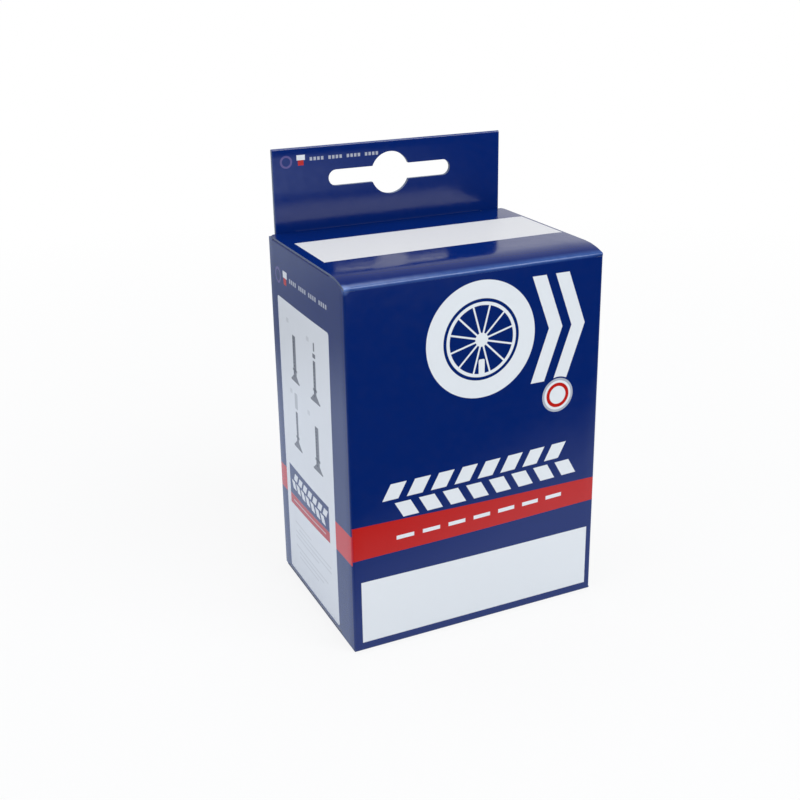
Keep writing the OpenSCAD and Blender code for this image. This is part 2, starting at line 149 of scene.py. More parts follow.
class Path:
    """Side view of a bent sheet: runs of (length, turn in degrees), joined end to end.

    side is 1 where the outer face lies to the right of the heading, and -1 where it lies to the left.
    """

    def __init__(self, start, heading, runs, side=1):
        self.runs, self.side = [], side
        p, a, s = np.array(start, float), radians(heading), 0.0
        for length, turn in runs:
            self.runs.append((s, length, p, a, radians(turn)))
            p = self._move(p, a, length, radians(turn), np.array([length]))[0][0]
            a += radians(turn)
            s += length
        self.length, self.end = s, p

    def _move(self, p, a, length, turn, d):
        b = a + turn * d / length
        if abs(turn) < 1e-9:
            step = d[:, None] * np.array([cos(a), sin(a)])
        else:
            r = length / turn
            step = r * stack(np.sin(b) - sin(a), cos(a) - np.cos(b))
        normal = stack(np.sin(b), -np.cos(b)) * self.side
        return p + step, normal

    def at(self, s):
        """Points on the outer face and their outward normals, at lengths s along it."""
        s = np.asarray(s, float)
        points, normals = np.zeros((len(s), 2)), np.zeros((len(s), 2))
        for i, (s0, length, p, a, turn) in enumerate(self.runs):
            last = i == len(self.runs) - 1
            here = (s >= s0 - (1e9 if i == 0 else 0)) & (s < s0 + length + (1e9 if last else 0))
            points[here], normals[here] = self._move(p, a, length, turn, s[here] - s0)
        return points, normals

    def rows(self, step, arc_step=15):
        """Lengths at which the sheet gets a row of points: close together round each arc."""
        found = [0.0]
        for s0, length, _, _, turn in self.runs:
            n = max(1, ceil(length / step - 1e-6), ceil(abs(degrees(turn)) / arc_step - 1e-6))
            found += [s0 + length * (i + 1) / n for i in range(n)]
        return found


def arc(r, turn):
    """A run that turns round a circle of radius r."""
    return (r * radians(abs(turn)), turn)


def mirrored(half):
    """A closed outline, from its right half."""
    (u0, s0), *others = half
    return [(-u0, s0), *half, *[(-u, s) for u, s in reversed(others)]]


def crosses(loop, axis, values):
    """The loop with a point added wherever it crosses one of these values."""
    out = []
    for i, p in enumerate(loop):
        q = loop[(i + 1) % len(loop)]
        out.append(tuple(p))
        low, high = sorted((p[axis], q[axis]))
        cuts = [(v - p[axis]) / (q[axis] - p[axis]) for v in values if low + 1e-6 < v < high - 1e-6]
        out += [(p[0] + t * (q[0] - p[0]), p[1] + t * (q[1] - p[1])) for t in sorted(cuts)]
    return out


def inside(loops, points):
    """True for each point inside the outline and outside its holes."""
    x, y = np.asarray(points, float).T
    odd = np.zeros(len(x), bool)
    for loop in loops:
        for (x0, y0), (x1, y1) in zip(loop, loop[1:] + loop[:1]):
            if y0 != y1:
                odd ^= ((y0 > y) != (y1 > y)) & (x < x0 + (y - y0) * (x1 - x0) / (y1 - y0))
    return odd


def fill(loops, columns, rows):
    """Triangles over an outline with holes. Every row of points is kept as a line of edges."""
    loops = [crosses(crosses(loop, 1, rows), 0, columns) for loop in loops]
    points, edges = [], []
    for loop in loops:
        n = len(points)
        edges += [(n + i, n + (i + 1) % len(loop)) for i in range(len(loop))]
        points += loop
    on_edge = np.array(points)
    for row in rows:
        grid = [(c, row) for c in columns]
        grid = [p for p, keep in zip(grid, inside(loops, grid)) if keep]
        grid += [tuple(p) for p in on_edge[np.abs(on_edge[:, 1] - row) < 1e-6]]
        grid = sorted(set(grid))
        middles = [((a[0] + b[0]) / 2, row) for a, b in zip(grid, grid[1:])]
        n = len(points)
        if middles:
            edges += [(n + i, n + i + 1) for i, keep in enumerate(inside(loops, middles)) if keep]
        points += grid
    made = geometry.delaunay_2d_cdt([Vector(p) for p in points], edges, [], 0, 1e-5)
    flat = np.array([tuple(v) for v in made[0]])
    triangles = np.array(made[2])
    keep = inside(loops, flat[triangles].mean(1))
    triangles = triangles[keep]
    used = np.unique(triangles)
    renumber = np.full(len(flat), -1)
    renumber[used] = np.arange(len(used))
    return flat[used], renumber[triangles]


def board(name, loops, path, place, materials, paint=None, swell=None, thick=None, step=3.0):
    """A piece of board: a flat blank of (across, along) points, bent along the path.

    place(across, p) turns a point of the path's own plane into the frame. materials are the
    outer ones, then the raw inner face and the cut edge. paint picks the outer one for each face.
    """
    thick = board_t if thick is None else thick
    across = [p[0] for loop in loops for p in loop]
    n = max(2, round((max(across) - min(across)) / step))
    columns = np.linspace(min(across), max(across), n + 1)[1:-1]
    flat, triangles = fill(loops, list(columns), path.rows(step))
    u, s = flat.T
    p, normal = path.at(s)
    lift = np.zeros(len(u)) if swell is None else swell(u, s)
    outer = place(u, p + normal * lift[:, None])
    inner = place(u, p + normal * (lift - thick)[:, None])
    count = {}
    for a, b, c in triangles:
        for e in ((a, b), (b, c), (c, a)):
            count[e] = count.get(e, 0) + 1
    rim = [(a, b) for a, b in count if (b, a) not in count]
    k = len(u)
    faces = [*triangles, *(triangles[:, ::-1] + k), *[(b, a, a + k, b + k) for a, b in rim]]
    middle = flat[triangles].mean(1)
    shown = [0] * len(triangles) if paint is None else list(paint(middle[:, 0], middle[:, 1]))
    last = len(materials) - 1
    slots = shown + [last - 1] * len(triangles) + [last] * len(rim)
    o = mesh_object(name, np.concatenate([outer, inner]), faces, materials, slots,
                    np.concatenate([outer, outer]))
    return o


def sweep(name, points, normals, sections, materials, place, rest, sharp=35):
    """Sections of (across, out) points carried round a closed line in a plane."""
    n, k = len(points), len(sections[0])
    rings = [place(sections[i][:, 0], points[i] + sections[i][:, 1:2] * normals[i]) for i in range(n)]
    faces = []
    for i in range(n):
        j = (i + 1) % n
        for a in range(k):
            b = (a + 1) % k
            faces.append((i * k + a, i * k + b, j * k + b, j * k + a))
    return mesh_object(name, np.concatenate(rings), faces, materials, rest=rest, sharp=sharp)


def lathe(name, rows, material, segments, radius=None, closed=True, sharp=35):
    """A turned piece: rows of (r, z, cut) round the valve's axis.

    radius(r, angle, z, cut) may change a row's radius with the angle, as a thread or a hexagon does.
    A closed profile is a ring. An open one starts and ends on the axis.
    """
    angle = np.arange(segments) * 2 * pi / segments
    points, rings = [], []
    for r, z, cut in rows:
        if r < 1e-6:
            rings.append([len(points)] * segments)
            points.append((*axis, z))
            continue
        rr = np.full(segments, r, float) if radius is None else radius(r, angle, z, cut)
        rings.append(list(range(len(points), len(points) + segments)))
        points += list(zip(axis[0] + rr * np.cos(angle), axis[1] + rr * np.sin(angle), [z] * segments))
    faces = []
    pairs = list(zip(rings, rings[1:])) + ([(rings[-1], rings[0])] if closed else [])
    for lower, upper in pairs:
        for i in range(segments):
            j = (i + 1) % segments
            faces.append(list(dict.fromkeys([lower[i], lower[j], upper[j], upper[i]])))
    return mesh_object(name, points, faces, [material], sharp=sharp)


def plain(rows):
    """Rows of a lathe profile with no cut."""
    return [(r, z, 0.0) for r, z in rows]


def thread_rows(r, z0, z1, depth, inner=False):
    """Rows close enough together to carry a thread from z0 to z1, which fades in at its ends."""
    n = max(2, round(abs(z1 - z0) / thread_pitch * 8))
    rows = []
    for i in range(n + 1):
        z = z0 + (z1 - z0) * i / n
        fade = min(1.0, abs(z - z0) / (0.6 * thread_pitch), abs(z1 - z) / (0.6 * thread_pitch))
        rows.append((r, z, depth * fade * (-1 if inner else 1)))
    return rows


def threaded(r, angle, z, cut):
    """Radius of a round thread: it winds up one pitch a turn, and is cut into the row's radius."""
    phase = z / thread_pitch - angle / (2 * pi)
    wave = np.abs(((phase % 1.0) - 0.5) * 2)
    return r - cut * np.clip(wave * 1.25 - 0.1, 0, 1)


def dress(node, material, bevel=0.0):
    """Gives a CAD node its material, and softens its edges where bevel is above 0."""
    o = nodes[node]
    o.data.materials.clear()
    o.data.materials.append(material)
    if bevel:
        modifier = o.modifiers.new("soft_edges", "BEVEL")
        modifier.width, modifier.segments = bevel * MM, 2
        modifier.limit_method = "ANGLE"


# ---------------- shader values
def fill_in(tree, node, inputs):
    """Sets a node's inputs to numbers and colours, or links them to Values and sockets."""
    for key, value in inputs.items():
        value = getattr(value, "socket", value)
        if isinstance(value, bpy.types.NodeSocket):
            tree.links.new(value, node.inputs[key])
        else:
            node.inputs[key].default_value = value


def add_node(tree, kind, inputs=None, **settings):
    node = tree.nodes.new("ShaderNode" + kind)
    for name, value in settings.items():
        setattr(node, name, value)
    fill_in(tree, node, inputs or {})
    return node


class Value:
    """A number in a node tree. Arithmetic on it adds Math nodes."""

    def __init__(self, tree, socket):
        self.tree, self.socket = tree, socket

    def math(self, operation, *others):
        inputs = dict(enumerate((self, *others)))
        return Value(self.tree, add_node(self.tree, "Math", inputs, operation=operation).outputs[0])

    def __add__(self, o): return self.math("ADD", o)
    def __sub__(self, o): return self.math("SUBTRACT", o)
    def __mul__(self, o): return self.math("MULTIPLY", o)
    def __truediv__(self, o): return self.math("DIVIDE", o)
    def __neg__(self): return self.math("MULTIPLY", -1)
    def __abs__(self): return self.math("ABSOLUTE")
    def least(self, o): return self.math("MINIMUM", o)
    def most(self, o): return self.math("MAXIMUM", o)
    def root(self): return self.math("SQRT")
    def ramp(self, a, b): return ((self - a) / (b - a)).most(0).least(1)
    def wrap(self, period): return self.math("FLOORED_MODULO", period)


def either(*shapes):
    """One shape made of several: the nearest of their distances."""
    found = shapes[0]
    for shape in shapes[1:]:
        found = found.least(shape)
    return found


def rect(x, z, x0, x1, z0, z1, r=0.0):
    """Distance to an upright rectangle with round corners; negative inside."""
    dx = abs(x - (x0 + x1) / 2) - ((x1 - x0) / 2 - r)
    dz = abs(z - (z0 + z1) / 2) - ((z1 - z0) / 2 - r)
    if r == 0:
        return dx.most(dz)
    dx, dz = dx.most(0), dz.most(0)
    return (dx * dx + dz * dz).root() - r


def disc(x, z, cx, cz, r):
    dx, dz = x - cx, z - cz
    return (dx * dx + dz * dz).root() - r


def ring(x, z, cx, cz, r, width):
    return abs(disc(x, z, cx, cz, r - width / 2)) - width / 2


PRINT_EDGE = 0.1                      # width over which a printed edge fades, in millimetres


class Paint:
    """A material under construction: a Principled shader, its places and what is laid over it.

    Places come from rest_mm, or on a CAD node, which has no such attribute, from the object itself.
    """

    def __init__(self, name, colour, cad=False, **settings):
        self.material = bpy.data.materials.new(name)
        self.material.use_nodes = True
        self.tree = self.material.node_tree
        self.shader = self.tree.nodes["Principled BSDF"]
        fill_in(self.tree, self.shader, settings)
        if cad:
            own = add_node(self.tree, "TexCoord").outputs["Object"]
            self.rest = add_node(self.tree, "VectorMath", {0: own, "Scale": 1 / MM},
                                 operation="SCALE").outputs[0]
        else:
            self.rest = add_node(self.tree, "Attribute", attribute_name="rest_mm").outputs["Vector"]
        parts = add_node(self.tree, "SeparateXYZ", {0: self.rest})
        self.x, self.y, self.z = [Value(self.tree, s) for s in parts.outputs]
        self.colour = (*colour, 1)
        self.bump = None

    def lay(self, shape, colour, strength=1.0):
        """Prints a colour over the inside of a shape, given as a distance in millimetres."""
        cover = (shape * (-1 / PRINT_EDGE) + 0.5).most(0).least(1)
        self.tint(cover * strength if strength != 1 else cover, colour)

    def tint(self, factor, colour):
        """Mixes in a colour by a factor from 0 to 1."""
        inputs = {0: factor, 6: self.colour, 7: (*colour, 1)}
        self.colour = add_node(self.tree, "Mix", inputs, data_type="RGBA").outputs[2]

    def noise(self, scale, detail=2.0, stretch=(1, 1, 1), roughness=0.5):
        """Noise over rest_mm, where scale is in features per millimetre."""
        vector = self.rest
        if stretch != (1, 1, 1):
            vector = add_node(self.tree, "Mapping", {"Vector": vector, "Scale": stretch}).outputs[0]
        inputs = {"Vector": vector, "Scale": scale, "Detail": detail, "Roughness": roughness}
        return Value(self.tree, add_node(self.tree, "TexNoise", inputs).outputs["Fac"])

    def relief(self, height, distance):
        """Adds a bump whose full height is distance, in millimetres."""
        inputs = {"Height": height, "Distance": distance * MM}
        if self.bump is not None:
            inputs["Normal"] = self.bump
        self.bump = add_node(self.tree, "Bump", inputs).outputs[0]

    def ranged(self, value, low, high):
        """Spreads a noise, which mostly stays between 0.3 and 0.7, from low to high."""
        inputs = {"Value": value, "From Min": 0.3, "From Max": 0.7, "To Min": low, "To Max": high}
        return Value(self.tree, add_node(self.tree, "MapRange", inputs).outputs[0])

    def done(self, roughness=None):
        inputs = {"Base Color": self.colour, "Roughness": roughness, "Normal": self.bump}
        fill_in(self.tree, self.shader, {k: v for k, v in inputs.items() if v is not None})
        return self.material


# ---------------- print on the carton
NAVY = (0.0006, 0.0155, 0.138)
WHITE = (0.765, 0.81, 0.855)
RED = (0.49, 0.009, 0.006)
GREY = (0.16, 0.17, 0.20)
PALE = (0.42, 0.46, 0.54)
RAW = (0.66, 0.645, 0.60)
# light blue laid along creases: faint rubbed wear, and a painted highlight where it is strong
CREASE_WEAR_AND_HIGHLIGHT = (0.05, 0.12, 0.36)
# light blue laid round the carton's front top left corner: a painted highlight
CORNER_HIGHLIGHT = (0.16, 0.27, 0.60)
DARK = (0.03, 0.035, 0.05)
# The print is laid out in millimetres of the closed carton. rect() takes the two places, then its
# lowest and highest value of each; disc() and ring() take the two places, then a centre and a radius.


def varnished(name, ground=NAVY, index=1.5):
    """Ink under a gloss varnish, with the faint waves and fibres of the board below."""
    p = Paint(name, ground, IOR=index)
    p.relief(p.noise(0.12, 2.0), 0.05)
    p.relief(p.noise(1.6, 3.0), 0.0012)
    return p


def crease_wear_and_highlight(p, distance, reach, amount):
    """Lightens the ink towards a crease, by the distance from it in millimetres: faint, it is rubbed
    wear; strong, it is a painted highlight for the light a rounded crease catches.
    """
    patchy = p.ranged(p.noise(0.7, 3.0), 0.75, 1.0)
    p.tint(distance.ramp(reach, 0.05) * patchy * amount, CREASE_WEAR_AND_HIGHLIGHT)


def finish_print(p, bare=None):
    """Gloss varnish, except over the inside of bare, a patch left dull to be stamped."""
    roughness = p.ranged(p.noise(0.5, 3.0), 0.11, 0.18)
    if bare is not None:
        roughness = roughness + bare.ramp(0.1, -0.1) * 0.38
    return p.done(roughness)


def worn_edges(p, *panel):
    """Wears a panel, given as rect() takes it, a little along its creases."""
    crease_wear_and_highlight(p, (-rect(*panel)).most(0), 0.5, 0.15)


def corner_highlight(p, a, b, corner, reach, amount):
    """Lightens a panel round one of its corners: a painted highlight."""
    p.tint(disc(a, b, *corner, 0).ramp(reach, 0.3) * amount, CORNER_HIGHLIGHT)


def heading_row(p, along, z, start, size):
    """Small row at the head of a panel: a thin ring, a two-colour pennant and a fine broken rule.

    size is negative where the row runs towards lower numbers.
    """
    a, z = (along - start) / size, z / abs(size)
    p.lay(ring(a, z, 1.9, -0.3, 1.6, 0.5), (0.10, 0.08, 0.26))
    p.lay(rect(a, z, 4.7, 6.9, -0.1, 1.2), WHITE)
    p.lay(rect(a, z, 5.0, 6.5, -1.4, -0.1), RED)
    ticks = abs(a.wrap(1.0) - 0.5) - 0.33
    words = (a - 8.0).wrap(5.0) - 4.0
    p.lay(ticks.most(words).most(rect(a, z, 7.9, 27.1, -0.4, 0.45)), WHITE, strength=0.55)


def tread(x, z, x0, count, z0, z1, pitch, width, slope):
    """Two rows of slanted tyre blocks that lean opposite ways. The lower one starts half a step on."""
    middle = (z0 + z1) / 2
    gap = (z1 - z0) * 0.06
    rows = []
    for lean, first, low, high in ((slope, x0, middle + gap, z1),
                                   (-slope, x0 + pitch / 2, z0, middle - gap)):
        along = x - (z - middle) * lean - (first + width / 2)
        blocks = abs((along + pitch / 2).wrap(pitch) - pitch / 2) - width / 2
        rows.append(blocks.most(rect(along, z, -pitch / 2, (count - 0.5) * pitch, low, high)))
    return either(*rows)


def valve_drawing(p, y, z, cy, foot, top, half):
    """Flat drawing of a valve: a stem over a flared foot, with a darker line down it."""
    stem = rect(y, z, cy - half, cy + half, foot + 0.6, top, 0.2)
    rise = z - foot
    flare = (abs(y - cy) - (rise * -1.25 + 3.1)).most(-rise).most(rise - 2.4)
    sole = rect(y, z, cy - 3.1, cy + 3.1, foot - 0.25, foot + 0.3, 0.2)
    p.lay(either(stem, flare, sole), GREY)
    core = rect(y, z, cy + half * 0.1, cy + half * 0.8, foot + 1.0, top - 0.3, 0.1)
    thread = abs((z - foot).wrap(0.9) - 0.45) - 0.3
    nut = rect(y, z, cy - half - 0.5, cy + half + 0.5, foot + 2.6, foot + 3.3, 0.1)
    p.lay(either(core.most(thread), nut), DARK, strength=0.7)


def red_band(p, z, low, high, colour=RED):
    """The red band, between two lines that are nearly level."""
    p.lay((z - high).most(-(z - low)), colour)


def front_print():
    p = varnished("printed_front")
    x, z = p.x, p.z
    red_band(p, z, x * 0.023 + 25.6, x * -0.012 + 33.2)
    # a wheel with its valve, and two chevrons beside it
    hub_x, hub_z, tyre_r, rim_r, spokes = 0.4, 75.2, 14.4, 9.2, 12
    dx, dz = x - hub_x, z - hub_z
    r = (dx * dx + dz * dz).root()
    sector = 2 * pi / spokes
    spoke = abs((dz.math("ARCTAN2", dx) + pi).wrap(sector) - sector / 2) * r - 0.22
    wheel = either(ring(x, z, hub_x, hub_z, tyre_r, 4.4), ring(x, z, hub_x, hub_z, rim_r, 0.8),
                   disc(x, z, hub_x, hub_z, 1.7), spoke.most(r - rim_r))
    valve = rect(x, z, hub_x - 0.8, hub_x + 0.8, hub_z - rim_r, hub_z - rim_r + 4.4, 0.4)
    nose = x + abs(dz) * 0.36
    chevrons = either(*[abs(nose - tip) - 1.9 for tip in (20.7, 27.1)]).most(abs(dz) - 13.4)
    p.lay(either(wheel, valve, chevrons), WHITE)
    # the badge
    badge = (21.8, 57.5)
    p.lay(disc(x, z, *badge, 4.8), NAVY)
    p.lay(disc(x, z, *badge, 4.4), PALE)
    p.lay(disc(x, z, *badge, 3.8), WHITE)
    p.lay(ring(x, z, *badge, 3.2, 0.9), RED)
    # tyre blocks above the band, and dashes like a road's centre line on it
    level = z - x * 0.03
    p.lay(tread(x, level, -26.0, 8, 34.6, 43.8, 6.3, 4.1, 0.55), WHITE)
    dash = abs((x + 22.5).wrap(6.9) - 2.6) - 2.3
    p.lay(dash.most(rect(x, level, -22.6, 25.4, 28.9, 29.9)), WHITE)
    # the bare label
    label = rect(x, z, -31.6, 32.0, 2.3, 18.8)
    p.lay(label, WHITE)
    # painted highlight along the front panel's top crease, for the light its rounded fold catches
    crease_wear_and_highlight(p, -(z - front_top), 0.9, 0.95)
    worn_edges(p, x, z, -half_w, half_w, 0, front_top)
    # painted highlight round the front panel's top left corner
    corner_highlight(p, x, z, (-half_w, front_top), 1.8, 0.7)
    return finish_print(p, label)


def left_print():
    p = varnished("printed_left")
    y, z = p.y, p.z
    red_band(p, z, y * 0.01 + 24.0, y * -0.01 + 31.2, (0.60, 0.014, 0.011))
    heading_row(p, y, z - 84.9, 21.2, -1.33)
    p.lay(rect(y, z, -15.1, 19.9, 1.9, 79.0, 0.8), WHITE)
    for cy, foot, top, half in ((8.6, 59.3, 71.4, 1.1), (-5.4, 58.8, 69.2, 0.8),
                                (8.8, 41.0, 51.0, 0.75), (-5.4, 40.4, 52.2, 1.1)):
        valve_drawing(p, y, z, cy, foot, top, half)
    p.lay(either(rect(y, z, -6.3, -4.5, 69.9, 71.0, 0.2), rect(y, z, -5.8, -5.0, 71.6, 73.8, 0.2)), GREY)
    p.lay(rect(y, z, 7.7, 9.9, 51.7, 56.0, 0.4), GREY, strength=0.45)
    for cy, cz in ((13.0, 74.2), (-1.4, 73.6), (12.4, 55.6), (-0.4, 54.2)):
        p.lay(rect(y, z, cy - 0.9, cy + 0.9, cz - 0.6, cz + 0.6, 0.3), GREY, strength=0.22)
    # a small panel in the same colours as the front
    level = z - y * 0.016
    foot = z + y * 0.04
    across = rect(y, z, -11.2, 17.2, 20, 36)
    p.lay(across.most(level - 33.4).most(-(foot - 25.8)), NAVY)
    p.lay(tread(y, level, -9.2, 7, 27.1, 31.9, 3.5, 2.4, -0.55), WHITE)
    p.lay(across.most(foot - 25.8).most(-(foot - 22.9)), RED)
    p.lay(rect(y, foot, -8.6, 14.8, 24.2, 24.6), WHITE, strength=0.5)
    # fine rules where small print would stand
    for low, first, last in ((17.6, 2.4, 14.6), (16.2, -11.2, 11.8), (14.8, -11.2, 14.6),
                             (13.4, -2.6, 14.6), (10.6, -8.6, 14.6), (9.2, -5.6, 12.4),
                             (7.8, -1.6, 12.4)):
        p.lay(rect(y, z, first, last, low - 0.25, low + 0.25), GREY, strength=0.2)
    worn_edges(p, y, z, -half_d, half_d, 0, side_top)
    # painted highlight round the wall's top front corner
    corner_highlight(p, y, z, (-half_d, front_top), 1.8, 0.5)
    return finish_print(p)


def right_print():
    """The hidden side: the ground colour, with the band carried round."""
    p = varnished("printed_right")
    y, z = p.y, p.z
    red_band(p, z, y * 0.006 + 26.5, y * -0.006 + 32.6)
    worn_edges(p, y, z, -half_d, half_d, 0, side_top)
    return finish_print(p)


def back_print():
    p = varnished("printed_back")
    x, z = p.x, p.z
    red_band(p, z, x * 0.035 + 25.5, x * 0.02 + 31.9)
    worn_edges(p, x, z, -half_w, half_w, 0, tab_crease)
    return finish_print(p)


def lid_print():
    p = varnished("printed_lid")
    x, y = p.x, p.y
    strip = rect(x, y, -31.2, 32.9, -7.5, 12.6)
    # the white band, in a darker copy of the walls' white ink: painted shade that dims the white on the
    # lid's top
    p.lay(strip, (0.66, 0.675, 0.705))
    # painted highlight along the lid's front crease, for the light its rounded fold catches
    crease_wear_and_highlight(p, y + half_d, 1.9, 0.95)
    # painted highlight round the lid's front left corner
    corner_highlight(p, x, y, (-lid_half, -half_d), 2.0, 0.7)
    return finish_print(p, strip)


def tab_print():
    # the navy ground is made 12 percent lighter here: painted light, for light thrown back up onto the
    # tab from the lid
    p = varnished("printed_tab", tuple(c * 1.12 for c in NAVY), 1.6)
    # the heading is on the front ply, and is moved out of reach on the rear one
    front = (p.y - (half_d - board_t)).math("LESS_THAN", 0)
    heading_row(p, p.x + (front * -100 + 100), p.z - 111.6, -30.3, 1.0)
    worn_edges(p, p.x, p.z, -tab_half, tab_half, tab_crease - 9, tab_top)
    return finish_print(p)


def plain_print():
    """Flaps that only carry the ground colour."""
    return finish_print(varnished("printed_flap"))


def dust_print():
    """Dust flaps: the ground colour stops a few millimetres past the crease."""
    inked = 4.0
    p = varnished("printed_dust_flap", WHITE)
    p.lay(-(abs(p.x) - (half_w - inked)), NAVY)
    return finish_print(p)


def raw_board(name="raw_board", cad=False):
    """Uncoated inner face, with fibres and specks."""
    p = Paint(name, RAW, cad, Roughness=0.85)
    p.tint(p.ranged(p.noise(1.6, 5.0, (1, 1, 0.4), 0.7), 0.0, 0.35).most(0), (0.50, 0.48, 0.43))
    p.relief(p.noise(3.0, 4.0), 0.02)
    return p.done()


def cut_edge():
    """Die-cut edge: the board's pale layers, drawn in a dark blue-grey with darker clouds."""
    p = Paint("cut_edge", (0.15, 0.19, 0.30), Roughness=0.8)
    p.tint(p.ranged(p.noise(2.5, 4.0), 0.0, 0.5).most(0), (0.09, 0.12, 0.20))
    p.relief(p.noise(5.0, 3.0), 0.02)
    return p.done()


# ---------------- rubber and metal
def rubber(name, talc):
    """Butyl rubber with a dusting of talc."""
    p = Paint(name, (0.016, 0.016, 0.018))
    dust = p.ranged(p.noise(0.55, 6.0, (1, 1, 0.45), 0.68), -0.1, 1.0).most(0)
    p.tint(dust * talc * 3, (0.30, 0.30, 0.31))
    p.relief(p.noise(0.9, 3.0, (1, 1, 0.15)), 0.06)
    p.relief(p.noise(6.0, 2.0), 0.012)
    return p.done(p.ranged(p.noise(0.5, 3.0), 0.42, 0.6))


def soft_rubber(name, colour, roughness, cad=False):
    """Plain moulded rubber, a little cloudy."""
    p = Paint(name, colour, cad, Roughness=roughness)
    p.tint(p.ranged(p.noise(1.2, 4.0), 0.0, 0.3).most(0), tuple(c * 0.6 for c in colour))
    p.relief(p.noise(4.0, 3.0), 0.015)
    return p.done()


def metal(name, colour, low, high, cad=False):
    """Turned metal with fine marks round it, and a roughness from low to high."""
    streak = (1, 1, 6)
    p = Paint(name, colour, cad, Metallic=1.0)
    p.tint(p.ranged(p.noise(0.8, 4.0), 0.0, 0.35).most(0), tuple(c * 0.72 for c in colour))
    p.relief(p.noise(2.5, 3.0, streak), 0.01)
    return p.done(p.ranged(p.noise(1.6, 3.0, streak), low, high))


def moulded(name, colour):
    """Moulded plastic with a fine spark-eroded grain."""
    p = Paint(name, colour)
    p.relief(p.noise(5.0, 3.0), 0.012)
    return p.done(p.ranged(p.noise(1.0, 3.0), 0.34, 0.48))


# ---------------- carton
raw, cut = raw_board(), cut_edge()
back_ink, left_ink, front_ink, right_ink = back_print(), left_print(), front_print(), right_print()
lid_ink, tab_ink, flap_ink, dust_ink = lid_print(), tab_print(), plain_print(), dust_print()

lid_stand = 0.8                       # upright run of the lid's piece below its crease
seam_front = front_top - lid_stand    # where the walls meet the lid's piece
seam_side = side_top - 0.65           # where they meet the upper dust flaps
seam_tab = side_top - 0.55            # where they meet the hang tab
seam_base = 0.7                       # where they meet the bottom's piece
seam_base_side = side_bottom + 0.65   # where they meet the lower dust flaps
seam_lid = tuck_y - 0.95              # where the lid and the bottom meet their tuck flaps
slit_gap = 0.04                       # width of the slit at each end of a tuck crease
attached = flap_hi[0] - 5.0           # half of what is left of that crease between the slits
dust_front, dust_back = dust_lo[1], dust_hi[1]
# place functions, for a path drawn as seen from the side and for one drawn as seen from above
from_side = lambda u, p: stack(u, p[:, 0], p[:, 1])
from_above = lambda u, p: stack(p[:, 0], p[:, 1], u)


def carton_walls():
    """The four walls in one sheet, which starts and ends at the back panel's right-hand fold."""
    free_x, belly, notch_z = half_w - 0.55, 0.4, 0.1
    walls = Path((free_x, half_d), 180, [
        (free_x + half_w - fold_r, 0), arc(fold_r, 90), (2 * (half_d - fold_r), 0), arc(fold_r, 90),
        (2 * (half_w - fold_r), 0), arc(fold_r, 90), (2 * (half_d - fold_r) - board_t, 0),
        arc(fold_r, 90)])
    starts = [run[0] for run in walls.runs]
    back = lambda rows: [(starts[0] + free_x - x, z) for x, z in rows]
    left = lambda rows: [(starts[2] + half_d - fold_r - y, z) for y, z in rows]
    right = lambda rows: [(starts[6] + half_d - fold_r + y, z) for y, z in rows]
    # the side walls' top edges follow the lid's bow, and the front wall is as wide as the lid there
    rim_r = bow_r - (box_h - side_top)
    bow = [(y, box_h - bow_r + np.sqrt(rim_r ** 2 - (y - bow_y) ** 2))
           for y in np.linspace(dust_front, -half_d + fold_r, 7)]
    corner = bow[-1][1] - 0.25
    turn = acos((lid_half - (half_w - fold_r)) / fold_r) * fold_r
    low, high = starts[3] + turn, starts[6] - turn
    upper = [(dust_back, side_top), (dust_back, seam_side), (dust_front, seam_side), *bow]
    lower = [(dust_back, side_bottom), (dust_back, seam_base_side), (dust_front, seam_base_side),
             (dust_front, side_bottom), (-half_d + fold_r, side_bottom)]
    top = [*back([(free_x, side_top), (tab_half, side_top), (tab_half, seam_tab), (-tab_half, seam_tab),
                  (-tab_half, side_top)]),
           *left(upper), (low, corner), (low, seam_front), (high, seam_front), (high, corner),
           *right(reversed(upper)), (walls.length, side_top)]
    bottom = [(walls.length, side_bottom), *right(lower), (high, notch_z), (high, seam_base),
              (low, seam_base), (low, notch_z),
              *left([*reversed(lower), (half_d - fold_r, side_bottom)]),
              *back([(fold_r - half_w, 0), (free_x, 0)])]
    loop = [(z, s) for s, z in top + bottom]
    corners = [(starts[i] + starts[i + 1]) / 2 for i in (1, 3, 5)]

    def swell(z, s):
        """Each wall bellies out over the bundle that fills the carton."""
        h = np.clip(z / box_h, 0, 1)
        lift = np.zeros(len(s))
        for i in (0, 2, 4, 6):
            t = np.clip((s - starts[i]) / (starts[i + 1] - starts[i]), 0, 1)
            lift += belly * (4 * t * (1 - t)) ** 2 * 4 * h * (1 - h)
        return lift

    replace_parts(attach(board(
        "carton_walls", [loop], walls, from_above, [back_ink, left_ink, front_ink, right_ink, raw, cut],
        paint=lambda u, s: np.searchsorted(corners, s), swell=swell), "carton"),
        "front_panel", "left_panel", "right_panel", "back_panel")


